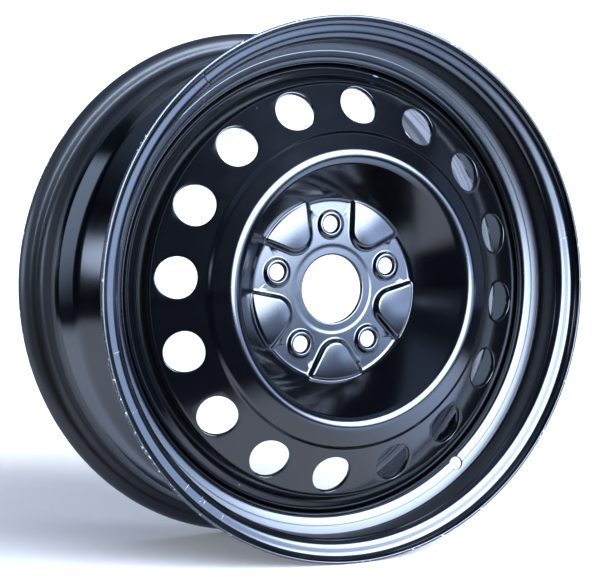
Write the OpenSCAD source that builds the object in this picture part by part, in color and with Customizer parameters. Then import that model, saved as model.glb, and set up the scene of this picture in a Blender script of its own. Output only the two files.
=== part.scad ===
// Pressed steel car wheel: a rolled rim with a drop-centre well, a pressed disc with a ring of round
// vents, lug seats and raised pads, and the weld beads that hold the disc in the rim.
// The wheel spins about Y. Its outboard face looks to -Y, +Z is up and the origin is its centre.

/* [Rim] */
// Diameter of the bead seats at the flange heel
bead_seat_d = 436.6; // [400:0.1:480]
// Distance between the two flange faces that hold the tyre
bead_width = 177.8; // [160:0.1:200]
// Height of each flange above the bead seat
flange_h = 17.3; // [15:0.1:20]
// Radius of the flange curl on the tyre side
curl_r = 9.5; // [8:0.1:11]
// Straight end of the curl
curl_end = 1.25; // [0.5:0.05:3]
// Thickness of the rolled rim sheet
rim_t = 2.6; // [2:0.1:3.2]
// Slope of the bead seats in degrees
seat_slope = 5; // [4:0.5:6]
// Radius of the heel between flange and bead seat
heel_r = 6.5; // [5:0.1:8]
// Width of each bead seat, from the flange face to the foot of the safety hump
seat_w = 20.5; // [18:0.1:24]
// Height of the safety humps above the bead seat line
hump_h = 2.3; // [1:0.1:3]
// Length of the rise from each bead seat to the top of its hump
hump_len = 4.5; // [3:0.1:6]
// Bend radius at the humps
hump_round = 6; // [4:0.1:7]
// Length of the flat top between the outboard hump and the well's wall
hump_top = 6.6; // [6:0.1:10]
// Depth of the drop-centre well below the bead seats
well_depth = 18.3; // [17:0.1:22]
// Length of the well floor
well_len = 42.7; // [36:0.1:48]
// Bend radius at the outboard end of the well floor
well_round = 5; // [4:0.1:8]
// Bend radius at the inboard end of the well floor
ramp_round = 16; // [8:0.1:24]
// Lean of the well's steep outboard wall, from its top to the well floor
wall_lean = 2.4; // [1:0.1:5]
// Bend radius at the top of that wall
wall_round = 4.5; // [3.5:0.1:5]
// Length of the sloping ledge between the well and the inboard hump
rim_ledge_len = 34; // [28:0.1:38]
// Distance from the ledge's outer end to the foot of the inboard hump
rim_ledge_setback = 15; // [12:0.1:18]
// Dip of the ledge's outer end below the foot of the hump
rim_ledge_dip = 1.5; // [1:0.1:2.5]
// Bend radius between the ledge and the slope to the well
rim_ledge_round = 40; // [20:0.1:44]
// Diameter of the valve hole
valve_d = 11.5; // [11:0.1:16]
// Angle of the valve hole, counter-clockwise from the right as seen from outboard
valve_angle = -51.8; // [-180:0.1:180]
// Place of the valve hole on the well's wall, from 0 at its top to 1 at the well floor
valve_place = 0.68; // [0.5:0.01:0.69]

/* [Disc] */
// Thickness of the pressed disc sheet
disc_t = 4.2; // [3.5:0.1:5]
// Distance of the mounting face outboard of the wheel's middle plane
offset_et = 50; // [40:0.5:55]
// Diameter of the centre bore
bore_d = 60.1; // [54:0.1:64]
// Width of the flat ring coined around the bore
coin_w = 6; // [4:0.1:8]
// Depth of the coined ring
coin_depth = 0.6; // [0.3:0.1:1.2]
// Width of the ramp from the coined ring up to the hub face
coin_ramp = 3.4; // [2:0.1:4.5]
// Broken edge of the bore
bore_edge = 0.5; // [0.2:0.1:1]
// Radius at which the bowl wall rises from the hub face
bowl_foot_r = 79.5; // [76:0.5:84]
// Bend radius at the foot of the bowl wall
bowl_foot_round = 5; // [3:0.1:8]
// Radius of the crest between the bowl and the vents
crest_r = 114; // [110:0.5:118]
// Slope of the shelf between the crest and the step line
crest_slope = 25; // [20:0.5:28]
// Rounding of the crest
crest_round = 9; // [7:0.5:11]
// Radius of the step line outside the crest
step_r = 134.7; // [132:0.1:137]
// Distance of the step line inboard of the front lip
step_depth = 7.6; // [6:0.1:10]
// Width of the step
step_w = 3.4; // [3:0.1:4.5]
// Height of the step
step_h = 4.2; // [3:0.1:5]
// Bend radius at the step line, on the hidden side
step_edge = 1.5; // [0.5:0.1:2]
// Number of vents
vent_count = 16; // [10:1:18]
// Diameter of each vent
vent_d = 35.4; // [26:0.1:37]
// Radius of the vent circle
vent_ring_r = 161.1; // [159:0.1:162]
// Slope of the ring that carries the vents, in degrees
vent_slope = 25; // [20:0.5:28]
// Angle of the first vent
vent_angle = 85.2; // [0:0.1:360]
// Radial distance from the flange back to the bend outside the vents
edge_bend = 17; // [15:0.5:19]
// Bend radius outside the vents
bend_round = 7; // [5:0.1:8]
// Width of the flat ledge beside the rim
ledge_w = 9.8; // [9.2:0.1:11]
// Depth of the ledge below the bend
ledge_drop = 13.3; // [10:0.1:18]
// Bend radius at the inner edge of the ledge
ledge_corner = 3; // [1.5:0.1:4]
// Fall of the ledge toward the rim
ledge_fall = 4; // [3:0.1:5]
// Bend radius from the ledge into the flange
flange_round = 8; // [6:0.1:8.5]
// Inboard end of the disc flange, measured from the wheel's middle plane
flange_end_a = 17.6; // [14:0.1:24]
// Gap between the disc flange and the rim well
fit_gap = 0.05; // [0.03:0.01:0.1]

/* [Lug seats] */
// Number of lug holes
lug_count = 5; // [4:1:5]
// Diameter of the lug circle
lug_pcd = 114.3; // [108:0.1:118]
// Diameter of each lug hole
lug_hole_d = 14.4; // [13:0.1:15]
// Diameter of the conical seat at its mouth
seat_mouth_d = 16.8; // [15.5:0.1:18]
// Included angle of the conical seat
seat_cone = 60; // [50:1:90]
// Height of each lug boss above the hub face
boss_h = 2.4; // [2:0.1:3.5]
// Diameter of each lug boss at its foot
boss_d = 27; // [25:0.1:29]
// Width of the flat land around the seat
boss_land = 1.6; // [1:0.1:2]
// Bend radius at the land's edge
boss_round = 0.8; // [0.4:0.1:1.2]
// Bend radius at the foot of the boss
boss_foot_round = 3; // [1.5:0.1:4]
// Inset of the dimple behind the boss from the boss's own diameter
dimple_inset = 4; // [3:0.1:6]
// Wall left between the dimple and the hub face
dimple_wall = 0.9; // [0.6:0.1:1.5]
// Angle of the first lug hole
lug_angle = 92.1; // [0:0.1:360]

/* [Pads] */
// Radius at the inner round end of each pad
pad_in_r = 43; // [41:0.5:46]
// Radius at the outer edge of each pad
pad_out_r = 83.5; // [80:0.5:86]
// Rounding of the inner end
pad_round = 18; // [14:0.5:20]
// Flare of the pad's sides away from its middle line, in degrees
pad_flare = 31; // [26:1:32]
// Height of the pad at its inner end
pad_h = 2.6; // [2:0.1:4]
// Rise of the pad's top toward its outer edge, in degrees
pad_rise = 5; // [3:0.5:7]
// Width of the pressed flank around the pad
flank_w = 5; // [4:0.1:6]
// Inset of the hollow behind each pad
hollow_inset = 1.4; // [1:0.1:2]

/* [Welds] */
// Number of weld beads
weld_count = 4; // [3:1:8]
// Angle of the first bead's middle
weld_angle = 90; // [0:1:360]
// Length of each bead in degrees
weld_arc = 52; // [20:1:70]
// Size of the fillet
weld_leg = 3.6; // [3:0.1:4.5]
// Gap between a bead and the sheets that it joins
weld_gap = 0.05; // [0.03:0.01:0.1]

/* [Shown part] */
// Which sub-part is drawn

/* [Hidden] */
$fn = 96;
bend_step = 12;
past = 1;

// Rim, on the tyre side
seat_r = bead_seat_d / 2;
flange_r = seat_r + flange_h;
flange_a = bead_width / 2;
lip_a = flange_a + curl_r + curl_end;
foot_a = flange_a - seat_w;
foot_r = seat_r - seat_w * tan(seat_slope);
hump_a = foot_a - hump_len;
hump_r = foot_r + hump_h;
well_r = seat_r - well_depth;
wall_a = hump_a - hump_top;
well_out_a = wall_a - wall_lean;
well_in_a = well_out_a - well_len;
rim_ledge_end_r = foot_r - rim_ledge_dip;
rim_ledge_end_a = -foot_a + rim_ledge_setback;
rim_ledge_r = rim_ledge_end_r - rim_ledge_len * tan(seat_slope);
rim_ledge_a = rim_ledge_end_a + rim_ledge_len;

// Disc, on the outboard side
disc_flange_r = well_r - rim_t - fit_gap;
face_a = offset_et + disc_t;
step_a = lip_a - step_depth;
crest_a = step_a + (step_r - crest_r) * tan(crest_slope);
bend_r = disc_flange_r - edge_bend;
step_foot_r = step_r + step_w;
step_foot_a = step_a - step_h;
bend_a = step_foot_a - (bend_r - step_foot_r) * tan(vent_slope);
ledge_in_r = disc_flange_r - ledge_w;
ledge_in_a = bend_a - ledge_drop;
vent_a = step_foot_a - (vent_ring_r - step_foot_r) * tan(vent_slope);
bore_r = bore_d / 2;
coin_over = 0.1;

// Lug seats and pads
seat_depth = (seat_mouth_d - lug_hole_d) / 2 / tan(seat_cone / 2);
dimple_depth = disc_t - dimple_wall;
dimple_d = boss_d - dimple_inset;
boss_skirt_w = 4;
boss_skirt_drop = 0.3;
flank_steps = 4;
skirt = 0.5;
inner_steps = 8;
outer_steps = 6;

// Unit vector from point p to point q
function toward(p, q) = let (d = [q.x - p.x, q.y - p.y]) d / norm(d);

// A direction turned a quarter turn to the left
function left_of(d) = [-d.y, d.x];

// A direction turned by an angle
function turned(d, angle) = [d.x * cos(angle) - d.y * sin(angle), d.x * sin(angle) + d.y * cos(angle)];

// The bend at corner v between p and q, shifted to the left by side. v.z is the bend's radius.
function bend(p, v, q, side) =
    let (d1 = toward(p, v),
         d2 = toward(v, q),
         turn = atan2(cross(d1, d2), d1 * d2),
         way = turn < 0 ? -1 : 1,
         start = [v.x, v.y] - v.z * tan(abs(turn) / 2) * d1,
         middle = start + way * v.z * left_of(d1),
         steps = ceil(abs(turn) / bend_step))
    [for (i = [0 : steps]) middle - (way * v.z - side) * turned(left_of(d1), turn * i / steps)];

// A line of corners [radius, height, bend radius], shifted to the left by side
function bent_line(corners, side) =
    let (last = len(corners) - 1,
         first_way = left_of(toward(corners[0], corners[1])),
         last_way = left_of(toward(corners[last - 1], corners[last])))
    concat(
        [[corners[0].x, corners[0].y] + side * first_way],
        [for (i = [1 : last - 1]) each bend(corners[i - 1], corners[i], corners[i + 1], side)],
        [[corners[last].x, corners[last].y] + side * last_way]);

function reversed(points) = [for (i = [len(points) - 1 : -1 : 0]) points[i]];

// The section of a sheet of the given thickness to the right of a line of corners
function sheet(corners, thickness) = concat(bent_line(corners, 0), reversed(bent_line(corners, -thickness)));

// The rim's tyre side, from the outboard lip to the inboard lip
rim_line = [
    [flange_r, lip_a, 0],
    [flange_r, flange_a, curl_r],
    [seat_r, flange_a, heel_r],
    [foot_r, foot_a, hump_round],
    [hump_r, hump_a, hump_round],
    [hump_r, wall_a, wall_round],
    [well_r, well_out_a, well_round],
    [well_r, well_in_a, ramp_round],
    [rim_ledge_r, rim_ledge_a, rim_ledge_round],
    [rim_ledge_end_r, rim_ledge_end_a, hump_round],
    [hump_r, -hump_a, hump_round],
    [foot_r, -foot_a, hump_round],
    [seat_r, -flange_a, heel_r],
    [flange_r, -flange_a, curl_r],
    [flange_r, -lip_a, 0]];

// The disc's outboard side, from the bore to the inboard end of its flange
disc_line = [
    [bore_r, face_a, 0],
    [bowl_foot_r, face_a, bowl_foot_round],
    [crest_r, crest_a, crest_round],
    [step_r, step_a, disc_t + step_edge],
    [step_foot_r, step_foot_a, disc_t],
    [bend_r, bend_a, bend_round],
    [ledge_in_r, ledge_in_a, ledge_corner],
    [disc_flange_r, ledge_in_a - ledge_fall, flange_round],
    [disc_flange_r, flange_end_a, 0]];

// Turns the wheel's own axis from Z to Y
module on_axle() {
    rotate([90, 0, 0])
        children();
}

// Copies evenly spaced around the axis, with the first at the given angle
module around(count, first) {
    for (i = [0 : count - 1])
        rotate(first - i * 360 / count)
            children();
}

// Valve hole, square to the well's outboard wall
module valve_hole() {
    fall = hump_r - well_r;
    rotate(valve_angle)
        translate([hump_r - valve_place * fall, 0, wall_a - valve_place * wall_lean])
            rotate([0, -atan2(wall_lean, fall), 0])
                cylinder(h = 6 * rim_t, d = valve_d, center = true);
}

module rim() {
    color([0.05, 0.05, 0.06])
        on_axle()
            difference() {
                rotate_extrude()
                    polygon(sheet(rim_line, rim_t));
                valve_hole();
            }
}

// One vent, square to the sloping ring
module vent() {
    translate([vent_ring_r, 0, vent_a])
        rotate([0, vent_slope, 0])
            cylinder(h = 6 * disc_t, d = vent_d, center = true);
}

// The raised part of a lug boss, from the hub face up
module boss() {
    top_r = seat_mouth_d / 2 + boss_land;
    foot_r = boss_d / 2;
    line = [
        [top_r - boss_land, boss_h, 0],
        [top_r, boss_h, boss_round],
        [foot_r, 0, boss_foot_round],
        [foot_r + boss_skirt_w, -boss_skirt_drop, 0]];
    rotate_extrude()
        polygon(concat([[0, -past], [0, boss_h]], bent_line(line, 0), [[foot_r + boss_skirt_w, -past]]));
}

// The lug hole with its conical seat, and the dimple behind it
module lug_bore() {
    reach = boss_h + disc_t + 2 * past;
    widen = past * tan(seat_cone / 2);
    translate([0, 0, -disc_t - past])
        cylinder(h = reach, d = lug_hole_d);
    translate([0, 0, boss_h - seat_depth])
        cylinder(h = seat_depth + past, d1 = lug_hole_d, d2 = seat_mouth_d + 2 * widen);
    translate([0, 0, -disc_t - past])
        cylinder(h = dimple_depth + past, d1 = dimple_d + 2 * past, d2 = dimple_d - 2 * dimple_depth);
}

// A pad's outline, moved in by inset: round inner end, flared sides, outer arc
function pad_outline(inset) =
    let (round_r = pad_round - inset,
         middle_y = pad_in_r + pad_round,
         out_r = pad_out_r - inset,
         touch = [round_r * cos(pad_flare), middle_y - round_r * sin(pad_flare)],
         side = [sin(pad_flare), cos(pad_flare)],
         along = touch * side,
         corner = touch + (sqrt(along * along - touch * touch + out_r * out_r) - along) * side,
         corner_angle = atan2(corner.y, corner.x))
    concat(
        [for (i = [0 : inner_steps])
            let (angle = 180 + pad_flare + i * (180 - 2 * pad_flare) / inner_steps)
            [round_r * cos(angle), middle_y + round_r * sin(angle)]],
        [for (i = [0 : outer_steps])
            let (angle = corner_angle + i * (180 - 2 * corner_angle) / outer_steps)
            [out_r * cos(angle), out_r * sin(angle)]]);

// A pad with pressed flanks, its top rising toward the bowl wall
module pad(inset, skirt_depth) {
    size = inner_steps + outer_steps + 2;
    rings = concat(
        [[for (p = pad_outline(inset)) [p.x, p.y, -skirt_depth]]],
        [for (k = [0 : flank_steps])
            let (lift = (1 - cos(180 * k / flank_steps)) / 2)
            [for (p = pad_outline(inset + flank_w * k / flank_steps))
                [p.x, p.y, lift * (pad_h + (p.y - pad_in_r) * tan(pad_rise))]]]);
    last = len(rings) - 1;
    points = [for (ring = rings) each ring];
    bottom = [for (i = [size - 1 : -1 : 0]) i];
    top = [for (i = [0 : size - 1]) last * size + i];
    flanks = [for (k = [0 : last - 1])
        for (i = [0 : size - 1])
            let (a = k * size + i, b = k * size + (i + 1) % size)
            each [[a, b, b + size], [a, b + size, a + size]]];
    polyhedron(points, [for (f = concat([bottom, top], flanks)) reversed(f)]);
}

// Pads stand midway between the lugs
module pads(inset, skirt_depth) {
    around(lug_count, lug_angle - 180 / lug_count - 90)
        pad(inset, skirt_depth);
}

// The coined ring around the bore, with the bore's broken edge
module coin() {
    floor_a = -coin_depth;
    coin_r = bore_r + coin_w;
    ramp_r = coin_r + coin_ramp * (1 + coin_over / coin_depth);
    rotate_extrude()
        polygon([
            [bore_r - past, past],
            [bore_r - past, floor_a - bore_edge - past],
            [bore_r + bore_edge, floor_a],
            [coin_r, floor_a],
            [ramp_r, coin_over],
            [ramp_r, past]]);
}

module disc() {
    color([0.06, 0.06, 0.07])
        on_axle()
            difference() {
                union() {
                    rotate_extrude()
                        polygon(sheet(disc_line, disc_t));
                    translate([0, 0, face_a]) {
                        around(lug_count, lug_angle)
                            translate([lug_pcd / 2, 0, 0])
                                boss();
                        pads(0, skirt);
                    }
                }
                around(vent_count, vent_angle)
                    vent();
                translate([0, 0, face_a]) {
                    around(lug_count, lug_angle)
                        translate([lug_pcd / 2, 0, 0])
                            lug_bore();
                    coin();
                }
                translate([0, 0, offset_et])
                    pads(hollow_inset, past);
            }
}

// Fillet beads between the disc flange's inboard end and the rim well
module weld_beads() {
    wall_r = disc_flange_r + fit_gap - weld_gap;
    floor_a = flange_end_a - weld_gap;
    color([0.08, 0.08, 0.09])
        on_axle()
            around(weld_count, weld_angle - weld_arc / 2)
                rotate_extrude(angle = weld_arc)
                    polygon(concat(
                        [[wall_r, floor_a]],
                        [for (i = [0 : 6])
                            let (angle = 180 + 15 * i)
                            [wall_r + weld_leg * cos(angle), floor_a + weld_leg * sin(angle)]]));
}

rim();
disc();
weld_beads();
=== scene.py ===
import math

import bmesh
import bpy
import numpy as np
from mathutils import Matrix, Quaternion, Vector


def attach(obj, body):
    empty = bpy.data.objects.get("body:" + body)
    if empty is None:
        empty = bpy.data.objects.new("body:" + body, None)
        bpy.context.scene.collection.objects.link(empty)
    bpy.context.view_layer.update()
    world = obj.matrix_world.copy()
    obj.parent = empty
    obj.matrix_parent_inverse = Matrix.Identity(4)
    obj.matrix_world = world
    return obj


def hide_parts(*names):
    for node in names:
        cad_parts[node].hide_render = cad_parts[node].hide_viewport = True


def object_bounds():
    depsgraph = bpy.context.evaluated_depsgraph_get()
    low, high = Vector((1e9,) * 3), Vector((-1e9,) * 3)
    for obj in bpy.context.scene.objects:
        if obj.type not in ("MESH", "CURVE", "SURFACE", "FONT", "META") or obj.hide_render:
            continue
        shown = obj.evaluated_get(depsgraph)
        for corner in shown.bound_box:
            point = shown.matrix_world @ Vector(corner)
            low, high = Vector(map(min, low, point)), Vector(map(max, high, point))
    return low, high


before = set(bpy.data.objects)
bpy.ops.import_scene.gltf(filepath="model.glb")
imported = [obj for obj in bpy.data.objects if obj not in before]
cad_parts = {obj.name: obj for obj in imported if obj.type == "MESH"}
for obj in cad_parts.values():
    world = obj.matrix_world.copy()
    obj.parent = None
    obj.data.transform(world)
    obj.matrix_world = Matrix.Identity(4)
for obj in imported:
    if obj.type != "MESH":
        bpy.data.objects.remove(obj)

bl_info = {
    "name": "Pressed Steel Wheel",
    "version": (1, 0, 0),
    "blender": (4, 5, 0),
    "location": "View3D > Sidebar > Wheel",
    "description": "Builds a black pressed steel car wheel and the studio it stands in",
    "category": "Object",
}

CAD_BOX = [list(corner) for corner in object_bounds()]
FLOOR = CAD_BOX[0][2]
BEND_STEP = math.radians(7.5)
WELD_DISTANCE = 2e-5


def property_kind(make, **options):
    """A short way to write properties of one kind."""
    return lambda name, description, default: make(
        name=name, description=description, default=default, **options
    )


length = property_kind(bpy.props.FloatProperty, precision=5, unit="LENGTH")
share = property_kind(bpy.props.FloatProperty, precision=4, subtype="FACTOR")
number = property_kind(bpy.props.IntProperty, min=1)
watts = property_kind(bpy.props.FloatProperty, unit="POWER")
focal = property_kind(bpy.props.FloatProperty, unit="CAMERA")
colour = property_kind(bpy.props.FloatVectorProperty, subtype="COLOR", min=0.0, max=1.0)


def angle(name, description, degrees):
    return bpy.props.FloatProperty(
        name=name, description=description, default=math.radians(degrees), subtype="ANGLE"
    )


class RimSizes(bpy.types.PropertyGroup):
    """Sizes of the rolled rim"""

    seat_radius: length("Bead seat", "Radius of the bead seats at the flange heel", 0.2183)
    bead_width: length("Bead width", "Distance between the two flange faces", 0.1778)
    flange_height: length("Flange height", "Height of each flange above the bead seat", 0.0173)
    flange_lean: length("Flange lean", "Lean of the outboard flange face toward its lip", 0.0026)
    rear_lean: length("Rear lean", "Lean of the inboard flange face away from its lip", 0.0009)
    curl_bend: length("Curl", "Bend radius of the flange curl", 0.0095)
    curl_end: length("Curl end", "Straight end of the curl", 0.00125)
    sheet: length("Sheet", "Thickness of the rolled sheet", 0.0026)
    lip_edge: length("Lip edge", "Rounding of the sheet's cut edge", 0.0009)
    seat_slope: angle("Seat slope", "Slope of the bead seats", 5)
    heel_bend: length("Heel", "Bend radius between flange and bead seat", 0.0065)
    seat_width: length("Seat width", "Width of each bead seat", 0.0205)
    hump_height: length("Hump height", "Height of the safety humps", 0.0023)
    hump_length: length("Hump length", "Length of the rise to each hump", 0.0045)
    hump_bend: length("Hump bend", "Bend radius at the humps", 0.006)
    hump_top: length("Hump top", "Flat between the outboard hump and the well's wall", 0.0056)
    wall_lean: length("Wall lean", "Lean of the well's steep outboard wall", 0.0044)
    wall_bend: length("Wall bend", "Bend radius at the top of the steep wall", 0.0045)
    well_depth: length("Well depth", "Depth of the well below the bead seats", 0.0183)
    well_length: length("Well length", "Length of the well floor", 0.0417)
    well_bend: length("Well bend", "Bend radius at the outboard end of the well", 0.005)
    ramp_bend: length("Ramp bend", "Bend radius at the inboard end of the well", 0.016)
    ledge_length: length("Ledge length", "Length of the inboard ledge", 0.034)
    ledge_setback: length("Ledge setback", "Distance of the ledge from the inboard hump", 0.015)
    ledge_dip: length("Ledge dip", "Dip of the ledge below the hump's foot", 0.0015)
    ledge_bend: length("Ledge bend", "Bend radius between ledge and slope", 0.040)
    valve_radius: length("Valve hole", "Radius of the valve hole", 0.00575)
    valve_edge: length("Valve hole edge", "Rounding of the valve hole's edge", 0.0005)
    valve_angle: angle("Valve angle", "Angle of the valve hole seen from outboard", -51.8)
    valve_place: share("Valve place", "Place of the valve hole on the steep wall", 0.68)
    sectors: number("Sectors", "Sectors that the hoop is rolled from", 36)


class DiscSizes(bpy.types.PropertyGroup):
    """Sizes of the pressed disc"""

    sheet: length("Sheet", "Thickness of the pressed sheet", 0.0042)
    mounting_face: length("Mounting face", "Distance of the mounting face from mid width", 0.050)
    bore_radius: length("Bore", "Radius of the centre bore", 0.03005)
    bore_edge: length("Bore edge", "Rounding of the bore's edge", 0.0005)
    coin_width: length("Coined ring", "Width of the flat ring coined around the bore", 0.0072)
    coin_depth: length("Coin depth", "Depth of the coined ring", 0.00025)
    coin_ramp: length("Coin ramp", "Width of the ramp up to the hub face", 0.0024)
    bowl_foot: length("Bowl foot", "Radius at which the bowl wall rises", 0.0795)
    bowl_bend: length("Bowl bend", "Bend radius at the bowl's foot", 0.005)
    crest_radius: length("Crest", "Radius of the crest's corner", 0.114)
    crest_slope: angle("Crest slope", "Slope of the shelf between the crest and the step line", 25)
    crest_bend: length("Crest bend", "Rounding of the crest", 0.0105)
    step_radius: length("Step", "Radius of the step line outside the crest", 0.1347)
    step_depth: length("Step depth", "Distance of the step line behind the lip", 0.0076)
    step_width: length("Step width", "Width of the step", 0.0034)
    step_height: length("Step height", "Height of the step", 0.0042)
    step_edge: length("Step edge", "Bend radius at the step line, on the hidden side", 0.0015)
    vent_count: number("Vents", "Number of vents", 16)
    vent_radius: length("Vent", "Radius of each vent", 0.0177)
    vent_edge: length("Vent edge", "Rounding of each vent's punched edge", 0.0006)
    vent_ring: length("Vent circle", "Radius of the vent circle", 0.1611)
    vent_slope: angle("Vent slope", "Slope of the ring that carries the vents", 25)
    vent_angle: angle("First vent", "Angle of the first vent seen from outboard", 85.2)
    edge_bend: length("Outer bend", "Distance from the flange to the bend outside the vents", 0.017)
    bend: length("Bend", "Bend radius outside the vents", 0.007)
    ledge_width: length("Ledge width", "Width of the ledge beside the rim", 0.0098)
    ledge_drop: length("Ledge drop", "Depth of the ledge below the bend", 0.0133)
    ledge_fall: length("Ledge fall", "Fall of the ledge toward the rim", 0.004)
    ledge_corner: length("Ledge corner", "Bend radius at the ledge's inner edge", 0.003)
    flange_bend: length("Flange bend", "Bend radius from the ledge into the flange", 0.008)
    flange_end: length("Flange end", "Distance of the flange's end from mid width", 0.0176)
    fit_gap: length("Fit gap", "Gap between the disc flange and the rim", 0.00005)


class HubSizes(bpy.types.PropertyGroup):
    """Sizes of the hub's lug seats and pads"""

    lug_count: number("Lugs", "Number of lug holes", 5)
    lug_circle: length("Lug circle", "Radius of the lug circle", 0.05715)
    lug_radius: length("Lug hole", "Radius of each lug hole", 0.0072)
    mouth_radius: length("Seat mouth", "Radius of the conical seat at its mouth", 0.0084)
    seat_cone: angle("Seat cone", "Included angle of the conical seat", 60)
    boss_height: length("Boss height", "Height of each lug boss", 0.0024)
    boss_radius: length("Boss", "Radius of each lug boss at its foot", 0.0135)
    boss_land: length("Boss land", "Width of the flat land around the seat", 0.0016)
    dimple_radius: length("Dimple", "Radius of the dimple behind each boss", 0.0115)
    dimple_wall: length("Dimple wall", "Wall between the dimple and the hub face", 0.0009)
    lug_angle: angle("First lug", "Angle of the first lug hole seen from outboard", 92.1)
    pad_inner: length("Pad inner end", "Radius at each pad's inner end", 0.043)
    pad_outer: length("Pad outer edge", "Radius at each pad's outer edge", 0.0835)
    pad_round: length("Pad rounding", "Rounding of the pad's inner end", 0.018)
    pad_flare: angle("Pad flare", "Flare of the pad's sides", 31)
    pad_height: length("Pad height", "Height of the pad at its inner end", 0.0044)
    pad_rise: angle("Pad rise", "Rise of the pad's top toward its outer edge", -0.7)
    flank: length("Flank", "Width of the pressed flank around each pad", 0.005)
    flank_soft: share("Flank softness", "Share of the flank that its two bends take", 0.4)
    pad_crown: length("Pad crown", "Fall of the pad's top from its middle to its edges", 0.0004)
    hollow_inset: length("Hollow inset", "Inset of the hollow behind each pad", 0.0014)


class WeldSizes(bpy.types.PropertyGroup):
    """Sizes of the beads that hold the disc in the rim"""

    count: number("Beads", "Number of weld beads", 4)
    first: angle("First bead", "Angle of the first bead's middle", 90)
    arc: angle("Bead arc", "Length of each bead", 52)
    leg: length("Leg", "Size of the fillet", 0.0036)
    gap: length("Gap", "Gap between a bead and the sheets", 0.00005)
    ripple: length("Ripple", "Distance between the ripples of a bead", 0.0028)
    ripple_depth: length("Ripple depth", "Depth of the ripples", 0.00028)


class PaintLook(bpy.types.PropertyGroup):
    """The black paint and its wear"""

    black: colour("Black", "Colour of the paint", (0.0009, 0.00095, 0.0013))
    worn: colour("Bare metal", "Colour where the paint is knocked off", (0.55, 0.56, 0.58))
    dust: colour("Dust", "Colour of settled dust", (0.16, 0.17, 0.19))
    thin: colour("Thin paint", "Colour inside the barrel, where the paint is thin", (0.36, 0.36, 0.37))
    weld: colour("Weld", "Colour of the painted weld beads", (0.006, 0.006, 0.0065))
    roughness: share("Roughness", "Roughness of the paint", 0.125)
    coat: share("Gloss", "Weight of the glossy top layer", 0.15)
    coat_roughness: share("Gloss roughness", "Roughness of the glossy top layer", 0.08)
    seam_angle: angle("Seam", "Angle of the rim's butt weld seen from outboard", 128)


class StageLook(bpy.types.PropertyGroup):
    """Floor, lights and camera"""

    floor: colour("Floor", "Colour of the floor and backdrop", (0.80, 0.71, 0.62))
    key_power: watts("Key", "Power of the main soft light", 520)
    spill_power: watts("Spill", "Power of the weaker light right of the main one", 13)
    side_power: watts("Side", "Power of the left soft light", 46)
    wall_power: watts("Wall", "Power of the dim light from the right", 5)
    rear_power: watts("Rear", "Power of the dim light behind on the left", 7)
    back_power: watts("Back", "Power of the light behind and above", 3.2)
    fill: share("Fill", "Strength of the dim surroundings", 0.12)
    ceiling: share("Ceiling", "Strength of the ceiling", 0.7)
    lens: focal("Lens", "Focal length of the camera", 112.8)


def unit(v):
    return v / np.linalg.norm(v)


def bend_points(before, corner, after, side):
    """Points round one corner (radius, along, bend), moved to the left of the line by side."""
    start, middle, end = (np.array(c[:2]) for c in (before, corner, after))
    way_in, way_out = unit(middle - start), unit(end - middle)
    turn = math.atan2(way_in[0] * way_out[1] - way_in[1] * way_out[0], way_in @ way_out)
    left = np.array([-way_in[1], way_in[0]])
    reach = math.copysign(corner[2], turn)
    centre = middle - corner[2] * math.tan(abs(turn) / 2) * way_in + reach * left
    turns = np.linspace(0, turn, max(3, math.ceil(abs(turn) / BEND_STEP) + 1))
    arms = np.stack([left[0] * np.cos(turns) - left[1] * np.sin(turns),
                     left[0] * np.sin(turns) + left[1] * np.cos(turns)], axis=1)
    return centre - (reach - side) * arms


def line_groups(corners, side):
    """The line's two ends and the points of its bends, in order, moved to the left by side."""
    ends = []
    for a, b, end in ((corners[0], corners[1], corners[0]), (corners[-2], corners[-1], corners[-1])):
        way = unit(np.array(b[:2]) - np.array(a[:2]))
        ends.append(np.array([end[:2]]) + side * np.array([-way[1], way[0]]))
    bends = [bend_points(*corners[i - 1:i + 2], side) for i in range(1, len(corners) - 1)]
    return [ends[0], *bends, ends[1]]


def sheet_lines(corners, thickness, support=0.0008, longest=0.0034):
    """Matching points on both faces of a sheet that lies to the right of a line of corners."""
    groups = [line_groups(corners, side) for side in (0.0, -thickness)]
    lines = [[g[0]] for g in groups]
    for i in range(len(corners) - 1):
        run = np.linalg.norm(groups[0][i + 1][0] - groups[0][i][-1])
        inner = np.array([])
        if run > 3 * support:
            steps = max(1, math.ceil((run - 2 * support) / longest))
            inner = np.linspace(support, run - support, steps + 1) / run
        for line, group in zip(lines, groups):
            start, end = group[i][-1], group[i + 1][0]
            line.append(start + inner[:, None] * (end - start))
            line.append(group[i + 1])
    return [np.concatenate(line) for line in lines]


def round_end(front, back, row, steps=4, edge=0.0009):
    """Rounds a sheet's cut edge at its first (0) or last (-1) row. Returns the points between its faces."""
    near = 1 if row == 0 else -2
    outward = unit(front[row] - front[near])
    across = unit(back[row] - front[row])
    turns = np.linspace(0, math.pi / 2, steps + 1)[:, None]
    first = front[row] + edge * (across - outward)
    second = back[row] - edge * (across + outward)
    arc = np.concatenate([first + edge * (outward * np.sin(turns) - across * np.cos(turns)),
                          second + edge * (outward * np.cos(turns) + across * np.sin(turns))])
    front[row], back[row] = arc[0], arc[-1]
    return arc[1:-1]


def spun(rows, angles):
    """Each row (radius, along) turned to each angle about the axle. Along is positive outboard, to -Y."""
    radius, along = rows[:, :1], rows[:, 1:]
    return np.stack([radius * np.cos(angles), -along + 0 * angles, radius * np.sin(angles)], axis=-1)


def run_of(line):
    return np.concatenate([[0], np.cumsum(np.linalg.norm(np.diff(line, axis=0), axis=1))])


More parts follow.
